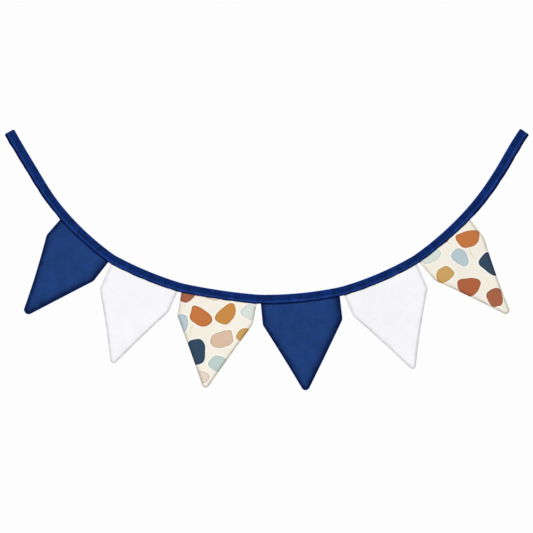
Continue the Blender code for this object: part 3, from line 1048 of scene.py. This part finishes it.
@dataclass
class Topstitching:
    """The row of stitches that closes the tape, seen on both of its faces."""

    tape: Tape
    finish: SewingThread
    pitch_mm: float = 2.8
    length_mm: float = 2.2
    half_width_mm: float = 0.27
    rise_mm: float = 0.2
    around: int = 6
    along: int = 6
    end_margin_mm: float = 4.0
    front_dent_mm: float = 0.30
    back_dent_mm: float = 0.18
    uv_girth_mm: float = 0.3

    def build(self) -> bpy.types.Object:
        """Make all the stitches as one mesh.

        A stitch is an ellipsoid stretched along the tape: its section shrinks as the square root
        of one less the square of the way from its middle.

        Returns:
            The stitches.
        """
        fold = self.tape.fold
        middles = np.arange(self.end_margin_mm, fold.length - self.end_margin_mm, self.pitch_mm)
        turn = np.linspace(0.0, 2.0 * np.pi, self.around + 1)
        way = np.sin(np.linspace(-np.pi / 2, np.pi / 2, self.along + 1))
        size = np.sqrt(np.clip(1.0 - way**2, 0.0, 1.0))[None, :, None]
        at = middles[:, None, None] + 0.5 * self.length_mm * way[None, :, None] + 0.0 * turn
        radius = 0.5 * eased(self.tape.thickness_mm, at)
        width = eased(self.tape.width_mm, at)
        height = width - SEAM_BELOW_MM + self.half_width_mm * size * np.cos(turn)
        x, z = fold.point(at, width - height)
        first = (self.along + 1) * (self.around + 1) * np.arange(len(middles))[:, None, None]
        points, quads = [], []
        for face, dent in ((1.0, self.front_dent_mm), (-1.0, self.back_dent_mm)):
            forward = radius + face * (radius + self.rise_mm * size * np.sin(turn) - dent)
            points.append(np.stack([x, -forward - eased(SWAY_MM, x), z], axis=3).reshape(-1, 3))
            one = grid_quads(self.along + 1, self.around + 1, (len(points) - 1) * at.size, face < 0.0)
            quads.append((first + one).reshape(-1, 4))
        flat = np.tile(np.stack([at, height + self.uv_girth_mm * turn], axis=3).reshape(-1, 2), (2, 1))
        piece = make_piece("topstitching", np.concatenate(points), np.concatenate(quads), flat, {})
        piece.data.validate()
        piece.data.materials.append(self.finish.material())
        return piece


# ------------------------------------------------------------------ the flags


@dataclass(frozen=True)
class SideCut:
    """One free side of a pennant.

    Its top and its shoulder stand out from the end of the flag's straight top line.  The shoulder
    is where the short side ends, this drop below that line.  The bow is how far the long side
    swells out of straight at its middle, and the curl how far the side stands forward.
    """

    top_mm: float
    out_mm: float
    drop_mm: float
    bow_mm: float
    curl_mm: float


@dataclass(frozen=True)
class TipCut:
    """A pennant's round tip: its circle's middle and radius, and how far it curls forward."""

    along_mm: float
    drop_mm: float
    radius_mm: float
    curl_mm: float


@dataclass(frozen=True)
class FlagCut:
    """A pennant's cut and hang, in its own frame: along its top edge, and down from that edge."""

    number: int
    slot: str
    left: SideCut
    right: SideCut
    tip: TipCut


CUTS = (
    FlagCut(
        1, "blue_cotton",
        SideCut(3.2, 2.7, 36.6, -1.5, 0.6), SideCut(2.4, 5.1, 42.5, -0.1, 2.2),
        TipCut(7.4, 158.5, 8.4, 3.0),
    ),
    FlagCut(
        2, "white_cotton",
        SideCut(1.8, 3.0, 49.6, -1.4, 1.8), SideCut(-0.9, -2.1, 41.0, -0.9, 0.4),
        TipCut(4.0, 156.8, 6.6, 2.2),
    ),
    FlagCut(
        3, "print_cotton",
        SideCut(2.0, 3.0, 42.3, -0.7, 0.5), SideCut(1.5, -0.4, 38.2, -0.5, 1.6),
        TipCut(-1.3, 155.7, 6.8, 3.4),
    ),
    FlagCut(
        4, "blue_cotton",
        SideCut(2.9, 3.0, 37.9, -0.7, 1.9), SideCut(-1.2, -0.5, 41.8, 0.4, 0.7),
        TipCut(-8.1, 154.2, 7.8, 2.4),
    ),
    FlagCut(
        5, "white_cotton",
        SideCut(1.6, 1.4, 40.0, -1.0, 0.5), SideCut(-0.3, -0.1, 47.7, -1.6, 2.0),
        TipCut(-9.4, 164.4, 6.1, 3.2),
    ),
    FlagCut(
        6, "print_cotton",
        SideCut(0.3, -0.1, 42.3, -0.9, 2.2), SideCut(1.9, 0.1, 40.1, -1.4, 0.6),
        TipCut(3.9, 165.5, 6.8, 2.6),
    ),
)


@dataclass
class Flag:
    """One two-layer pennant, turned through so that its free edges are rolled, its top in the tape."""

    cut: FlagCut
    tape: Tape
    finish: PlainCotton
    # Between two flags the top line runs this far past the flag's own stretch of the tape.
    overrun_mm: float = 4.0
    fillet_mm: float = 3.0
    # The hidden top: its height, how far its sides draw in, its rounding and half its thickness.
    tuck_mm: float = 11.0
    tuck_taper_mm: float = 1.5
    tuck_round_mm: float = 1.5
    tuck_half_mm: float = 0.55
    # The middle plane lies this far forward of the tape's flat back.
    plane_mm: float = 1.9
    # Half the thickness, by millimetres in from the free edge: the turned seam allowance, then
    # two layers alone.
    half_mm: Table = ((0.0, 1.12), (4.6, 1.12), (6.4, 0.92), (200.0, 0.92))
    # The share of that half which the cloth has reached, by millimetres below the top line.
    filled: Table = ((-200.0, 0.0), (3.0, 0.0), (7.0, 1.0), (300.0, 1.0))
    edge_swell_mm: float = 2.4
    edge_round_mm: float = 0.45
    # How far in from each edge the columns over the seam allowance lie.
    seam_steps_mm: tuple[float, ...] = (
        0.0, 0.08, 0.3, 0.65, 1.1, 1.7, 2.5, 3.6, 4.6, 5.2, 5.8, 6.6, 8.0, 10.0,
    )
    # The right edges' distances are divided by this for the painted edge shade, which is wider on the side
    # away from the light.
    right_shade_spread: float = 1.35
    inner_columns: int = 76
    full_seam_width_mm: float = 42.0
    side_rows: int = 104
    fillet_points: int = 5
    side_points: int = 25
    # The last rows sag to the tip's arc: from this share of the rows on, by this power.
    sag_from: float = 0.72
    sag_power: float = 1.5
    # Pressing waves run two ways over the cloth, puckers run down beside the seam and die out
    # inside it, and both die out towards the tape.  Each set of waves has its phases as shares of
    # the flag's own, and its way over the cloth: along the top edge, and down.
    presses: tuple[tuple[Waves, tuple[float, float]], ...] = (
        (((83.0, 1.0, 0.22), (47.0, 2.1, 0.12)), (0.8, 0.6)),
        (((71.0, 1.3, 0.16), (39.0, 3.7, 0.08)), (0.5, -0.85)),
    )
    puckers: tuple[Waves, tuple[float, float]] = (((12.5, 1.0, 0.20), (8.3, 2.0, 0.10)), (0.3, 1.0))
    phase_deg: float = 57.0
    pucker_reach_mm: float = 5.0
    calm_mm: tuple[float, float] = (3.0, 25.0)
    # The back layer is cut from another place on the cloth.
    back_shift_mm: tuple[float, float] = (400.0, 37.0)
    # How far past the flag's own stretch of the tape its nearest point is looked for.
    search_mm: float = 20.0

    def __post_init__(self) -> None:
        """Hang the flag's frame on the straight line between the ends of its top edge."""
        fold = self.tape.fold
        start, end = fold.over_flag(self.cut.number)
        start -= self.overrun_mm if self.cut.number > 1 else 0.0
        end += self.overrun_mm if self.cut.number < len(CUTS) else 0.0
        ends = np.array([start, end])
        corners = np.stack(fold.point(ends, eased(self.tape.width_mm, ends)), axis=1)
        self.middle = 0.5 * (corners[0] + corners[1])
        self.width = float(np.linalg.norm(corners[1] - corners[0]))
        self.along = (corners[1] - corners[0]) / self.width
        self.down = np.array([self.along[1], -self.along[0]])

    def side(self, sign: int) -> tuple[Array, Array]:
        """One free side, from the tucked top down to where the round tip starts.

        Args:
            sign: -1 for the left side and 1 for the right.

        Returns:
            Points by (along, down), above the middle of the shoulder's rounding and below it.  The
            lower ones run to the tip's circle as its tangent, and swell out by a parabola.
        """
        tip, side = self.cut.tip, self.cut.left if sign < 0 else self.cut.right
        half = 0.5 * self.width
        shoulder = np.array([sign * (half + side.out_mm), side.drop_mm])
        reach = np.array([tip.along_mm, tip.drop_mm]) - shoulder
        span = float(np.linalg.norm(reach))
        heading = math.atan2(reach[1], reach[0]) - sign * math.asin(tip.radius_mm / span)
        ray = np.array([math.cos(heading), math.sin(heading)])
        outward = sign * np.array([ray[1], -ray[0]])
        run = math.sqrt(span**2 - tip.radius_mm**2)
        top = np.array([sign * (half + side.top_mm), 0.0])
        tucked = np.array([sign * (half + side.top_mm - self.tuck_taper_mm), -self.tuck_mm])
        fall = (shoulder - top) / np.linalg.norm(shoulder - top)
        turn = np.linspace(0.0, 1.0, self.fillet_points)[:, None]
        before, after = shoulder - fall * self.fillet_mm, shoulder + ray * self.fillet_mm
        rounded = (1 - turn) ** 2 * before + 2 * turn * (1 - turn) * shoulder + turn**2 * after
        share = np.linspace(0.0, 1.0, self.side_points)[1:, None]
        lower = shoulder + ray * (self.fillet_mm + share * (run - self.fillet_mm))
        lower = lower + outward * side.bow_mm * 4.0 * share * (1.0 - share)
        half_way = self.fillet_points // 2
        return np.vstack([tucked, top, rounded[: half_way + 1]]), np.vstack([rounded[half_way:], lower])

    @staticmethod
    def _walk(corners: Array, shares: Array) -> Array:
        """Points at these shares of a polyline's length."""
        steps = np.r_[0.0, np.cumsum(np.linalg.norm(np.diff(corners, axis=0), axis=1))]
        return np.stack([np.interp(shares * steps[-1], steps, corners[:, axis]) for axis in (0, 1)], axis=1)

    def _rows(self, upper: Array, lower: Array) -> Array:
        """One side at every row: a quarter of them down to the shoulder, the rest on to the tip.

        Args:
            upper: the side above the middle of its shoulder.
            lower: the side below it.

        Returns:
            Points by (along, down), closer together at the tip.
        """
        to_shoulder = self._walk(upper, np.linspace(0.0, 1.0, self.side_rows // 4 + 1))
        tail = np.array(self.seam_steps_mm[::-1])
        run = float(np.linalg.norm(np.diff(lower, axis=0), axis=1).sum())
        even = np.linspace(0.0, 1.0 - tail[0] / run, 3 * self.side_rows // 4)[1:-1]
        return np.vstack([to_shoulder, self._walk(lower, np.r_[even, 1.0 - tail / run])])

    def surface(self) -> tuple[Array, Array, Array]:
        """The flag's flat cut, as rows from the tucked top to the tip.

        A row is straight between its ends.  The last rows sag towards the arc of the tip.

        Returns:
            A grid of (along, down), each point's distance from a free edge, and the same where
            the right seam counts as nearer, so that the painted edge shade is wider on that side, away from
            the light.
        """
        left, right = self.side(-1), self.side(1)
        starts, ends = self._rows(*left), self._rows(*right)
        widths = np.linalg.norm(ends - starts, axis=1)
        narrowed = np.minimum(1.0, widths / self.full_seam_width_mm)
        steps = np.array(self.seam_steps_mm) * narrowed[:, None] / widths[:, None]
        inner = np.linspace(0.0, 1.0, self.inner_columns + 2)[1:-1]
        between = steps[:, -1:] + (1.0 - 2.0 * steps[:, -1:]) * inner
        shares = np.concatenate([steps, between, 1.0 - steps[:, ::-1]], axis=1)
        spots = starts[:, None, :] + shares[..., None] * (ends - starts)[:, None, :]
        spots[..., 1] += self._tip_sag(starts[-1], ends[-1], shares)
        to_left = self._distance(spots, np.vstack([*left, spots[-1]]))
        to_right = self._distance(spots, np.vstack([spots[-1], *(part[::-1] for part in right[::-1])]))
        return spots, np.minimum(to_left, to_right), np.minimum(to_left, to_right / self.right_shade_spread)

    def _tip_sag(self, start: Array, end: Array, shares: Array) -> Array:
        """How far the last rows hang below straight, rising to the tip's full arc.

        Args:
            start: the last row's left end.
            end: its right end.
            shares: each point's share of the way between its row's ends.

        Returns:
            The sag of each point.
        """
        tip = self.cut.tip
        across = start[0] + shares * (end[0] - start[0]) - tip.along_mm
        level = start[1] + shares * (end[1] - start[1])
        arc = tip.drop_mm + np.sqrt(np.maximum(tip.radius_mm**2 - across**2, 0.0))
        full = np.maximum(arc - level, 0.0)
        full = full - (1.0 - shares) * full[:, :1] - shares * full[:, -1:]
        rows = np.linspace(0.0, 1.0, len(shares))[:, None]
        return full * np.clip((rows - self.sag_from) / (1.0 - self.sag_from), 0.0, 1.0) ** self.sag_power

    @staticmethod
    def _distance(spots: Array, boundary: Array) -> Array:
        """Each point's distance from a polyline.

        Args:
            spots: a grid of points.
            boundary: the polyline's corners.

        Returns:
            The distances.
        """
        first, way = boundary[:-1], np.diff(boundary, axis=0)
        kept = (way != 0.0).any(axis=1)
        first, way = first[kept], way[kept]
        offset = spots[:, :, None, :] - first
        share = np.clip((offset * way).sum(axis=3) / (way**2).sum(axis=1), 0.0, 1.0)
        return np.sqrt(((offset - share[..., None] * way) ** 2).sum(axis=3)).min(axis=2)

    def half_thickness(self, spots: Array, edge: Array) -> Array:
        """Half the flag's thickness: it swells from the edge as one less an exponential, then thins.

        The swell is full over the turned seam allowance.  Inside that only two layers are left.

        Args:
            spots: the grid of the flat cut.
            edge: each point's distance from a free edge.

        Returns:
            Half the thickness at each point.
        """
        swell = 1.0 - np.exp(-edge / self.edge_swell_mm)
        rolled = rounded_off(np.clip(edge / self.edge_round_mm, 0.0, 1.0))
        tucked = rounded_off(np.clip((spots[..., 1] + self.tuck_mm) / self.tuck_round_mm, 0.0, 1.0))
        filled = eased(self.filled, spots[..., 1])
        half = self.tuck_half_mm + (eased(self.half_mm, edge) * swell - self.tuck_half_mm) * filled
        return half * rolled * tucked

    def curl(self, spots: Array) -> Array:
        """How far the middle plane stands forward: each side and the tip by its own amount.

        A side's curl goes by the square of the way out to it, and as a sine down the flag.  The
        tip's goes by the cube of the way down.

        Args:
            spots: the grid of the flat cut.

        Returns:
            The distance forward of each point.
        """
        cut = self.cut
        fallen = np.maximum(spots[..., 1] / cut.tip.drop_mm, 0.0)
        across = spots[..., 0] / (0.5 * self.width)
        left, right = (np.clip(share, 0.0, 1.0) ** 2 for share in (-across, across))
        sides = cut.left.curl_mm * left + cut.right.curl_mm * right
        return sides * np.sin(np.pi * np.minimum(fallen, 1.0)) + cut.tip.curl_mm * fallen**3

    def ripples(self, spots: Array, edge: Array) -> Array:
        """Small pressing waves of the cloth, and puckers beside the seam, as sums of sines.

        Args:
            spots: the grid of the flat cut.
            edge: each point's distance from a free edge.

        Returns:
            The distance forward of each point.
        """
        phase = self.phase_deg * self.cut.number
        sums = []
        for rows, way in (*self.presses, self.puckers):
            phased = tuple((length, share * phase, height) for length, share, height in rows)
            sums.append(waves(phased, spots @ np.array(way)))
        height = sum(sums[:-1]) + sums[-1] * np.exp(-edge / self.pucker_reach_mm)
        return height * np.clip((spots[..., 1] - self.calm_mm[0]) / self.calm_mm[1], 0.0, 1.0)

    def build(self) -> bpy.types.Object:
        """Make the flag's mesh and dress it.

        Returns:
            The flag.
        """
        spots, edge, shaded = self.surface()
        half = self.half_thickness(spots, edge)
        half[[0, -1], :] = 0.0
        half[:, [0, -1]] = 0.0
        x = self.middle[0] + spots[..., 0] * self.along[0] + spots[..., 1] * self.down[0]
        z = self.middle[1] + spots[..., 0] * self.along[1] + spots[..., 1] * self.down[1]
        plane = self.plane_mm + self.curl(spots) + self.ripples(spots, edge) + eased(SWAY_MM, x)
        rows, columns = edge.shape
        faces = [np.stack([x, -(plane + side * half), z], axis=2).reshape(-1, 3) for side in (1.0, -1.0)]
        quads = [grid_quads(rows, columns, 0, False), grid_quads(rows, columns, rows * columns, True)]
        front = np.stack([spots[..., 0], -spots[..., 1]], axis=2).reshape(-1, 2)
        flats = [front, front * (-1.0, 1.0) + self.back_shift_mm]
        kept = {Mark.EDGE: edge, Mark.SHADED_SIDE_EDGE: shaded, Mark.BELOW_TAPE: self._below_tape(x, z)}
        marks = {mark.value: np.tile(values.reshape(-1), 2) for mark, values in kept.items()}
        name = f"pennant_{self.cut.number}"
        piece = make_piece(name, np.concatenate(faces), np.concatenate(quads), np.concatenate(flats), marks)
        piece.data.materials.append(self.finish.material())
        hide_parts(f"flag_{self.cut.number}")
        return piece

    def _below_tape(self, x: Array, z: Array) -> Array:
        """How far below the tape's lower edge: the distance from the fold less the tape's width.

        Args:
            x: each point's X.
            z: each point's Z.

        Returns:
            Millimetres below that edge.
        """
        fold = self.tape.fold
        start, end = fold.over_flag(self.cut.number)
        near = (fold.at > start - self.search_mm) & (fold.at < end + self.search_mm)
        away = np.hypot(x[..., None] - fold.x[near], z[..., None] - fold.z[near])
        return away.min(axis=2) - eased(self.tape.width_mm, fold.at[near][away.argmin(axis=2)])


# ------------------------------------------------------------------ the studio


@dataclass
class Studio:
    """A level camera at the photograph's angle, soft light and a pale floor.

    The key stands in front, to the upper left.  A weaker light behind shows the back.
    """

    photo_width_mm: float = 959.4
    centre_mm: tuple[float, float] = (-1.03, -248.05)
    distance_m: float = 8.0
    sight_m: float = 100.0
    sensor_mm: float = 36.0
    ambient: float = 0.432
    key_watts: float = 778.0
    key_place_m: tuple[float, float, float] = (-3.6, -8.4, 6.4)
    fill_watts: float = 260.0
    fill_place_m: tuple[float, float, float] = (3.4, 7.6, 4.6)
    light_size_m: float = 3.5
    floor_m: float = 7.0
    floor_level_m: float = -1.30
    floor_roughness: float = 0.9

    def camera(self) -> None:
        """A long lens that frames as many millimetres as the photograph does."""
        data = bpy.data.cameras.new("camera")
        data.sensor_width = self.sensor_mm
        data.lens = self.sensor_mm * self.distance_m / (self.photo_width_mm * MM)
        data.clip_end = self.sight_m
        camera = bpy.data.objects.new("camera", data)
        camera.location = (self.centre_mm[0] * MM, -self.distance_m, self.centre_mm[1] * MM)
        camera.rotation_euler = (math.pi / 2, 0.0, 0.0)
        bpy.context.scene.collection.objects.link(camera)
        bpy.context.scene.camera = camera

    def world(self) -> None:
        """An even pale surround: dimmer as a light than as the backdrop that the camera sees."""
        world = bpy.data.worlds.new("surround")
        world.use_nodes = True
        tree = world.node_tree
        background = tree.nodes["Background"]
        background.inputs["Color"].default_value = Shade.BACKDROP.light
        strength = add_node(tree, Step.LEVEL, add_node(tree, Step.SEEN), self.ambient, 1.0)
        tree.links.new(strength, background.inputs["Strength"])
        bpy.context.scene.world = world

    def light(self, name: str, watts: float, place_m: tuple[float, float, float]) -> None:
        """Add one broad square light that faces the middle of the row.

        Args:
            name: the light's name.
            watts: its power.
            place_m: where it stands.
        """
        data = bpy.data.lights.new(name, "AREA")
        data.shape = "SQUARE"
        data.size = self.light_size_m
        data.energy = watts
        light = bpy.data.objects.new(name, data)
        light.location = place_m
        aim = Vector((0.0, 0.0, self.centre_mm[1] * MM)) - Vector(place_m)
        light.rotation_euler = aim.to_track_quat("-Z", "Y").to_euler()
        bpy.context.scene.collection.objects.link(light)

    def floor(self) -> None:
        """A plain pale floor, well below the hanging row."""
        half = 0.5 * self.floor_m
        level = self.floor_level_m
        corners = [(-half, -half, level), (half, -half, level), (half, half, level), (-half, half, level)]
        mesh = bpy.data.meshes.new("studio_floor")
        mesh.from_pydata(corners, [], [(0, 1, 2, 3)])
        material = bpy.data.materials.new("floor_paint")
        material.use_nodes = True
        shader = material.node_tree.nodes["Principled BSDF"]
        shader.inputs["Base Color"].default_value = Shade.FLOOR.light
        shader.inputs["Roughness"].default_value = self.floor_roughness
        mesh.materials.append(material)
        floor = bpy.data.objects.new("studio_floor", mesh)
        bpy.context.scene.collection.objects.link(floor)

    def build(self) -> None:
        """Set up the whole studio."""
        bpy.context.scene.view_settings.view_transform = "Standard"
        self.camera()
        self.world()
        self.light("key", self.key_watts, self.key_place_m)
        self.light("back_fill", self.fill_watts, self.fill_place_m)
        self.floor()


# ------------------------------------------------------------------ the bunting


def finishes() -> dict[int, PlainCotton]:
    """The finish of each flag.

    Returns:
        The finishes, by the flags' numbers.
    """
    blue = PlainCotton(
        name="blue_poplin",
        shade=Shade.BLUE,
        clouding=0.12,
        rim_shade_tint=Shade.BLUE_RIM_SHADE,
        rim_mm=9.0,
        rim_mark=Mark.SHADED_SIDE_EDGE,
        painted_edge_shade=(2.0, 20.0, 0.80, 1.0),
        line_shade_tint=Shade.BLUE_LINE_SHADE,
        groove_shade_dim=0.97,
        under_tape=(0.0, 2.6, 0.35, 1.0),
        crest=Shade.BLUE_CREST,
    )
    white = PlainCotton(
        name="white_poplin",
        shade=Shade.WHITE,
        clouding=0.018,
        rim_shade_tint=Shade.WHITE_RIM_SHADE,
        rim_mm=6.0,
        rim_mark=Mark.EDGE,
        painted_edge_shade=(3.0, 12.0, 0.99, 1.0),
        line_shade_tint=Shade.WHITE_LINE_SHADE,
        groove_shade_dim=0.985,
    )
    first, second = (
        PebbleCotton(
            name=name,
            shade=Shade.GROUND,
            clouding=0.012,
            rim_shade_tint=Shade.CREAM_RIM_SHADE,
            rim_mm=6.0,
            rim_mark=Mark.EDGE,
            painted_edge_shade=(3.0, 12.0, 0.98, 1.0),
            line_shade_tint=Shade.CREAM_LINE_SHADE,
            groove_shade_dim=0.98,
            shift_mm=shift_mm,
        )
        for name, shift_mm in (("pebble_print_1", (48.0, 135.0)), ("pebble_print_2", (144.0, 121.0)))
    )
    return {1: blue, 2: white, 3: first, 4: blue, 5: white, 6: second}


def main() -> None:
    """Build the bunting in order, and report each piece."""
    logging.basicConfig(level=logging.INFO, format="%(name)s: %(message)s")
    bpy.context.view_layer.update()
    Studio().build()
    tape = Tape(Fold(), BiasBinding())
    band = tape.build()
    log.info("%s: %d faces", band.name, len(band.data.polygons))
    thread = Topstitching(tape, SewingThread()).build()
    log.info("%s: %d faces", thread.name, len(thread.data.polygons))
    tape.opened_size()
    dressed = finishes()
    for cut in CUTS:
        flag = Flag(cut, tape, dressed[cut.number]).build()
        log.info("%s: %d faces", flag.name, len(flag.data.polygons))


if __name__ == "__main__":
    main()
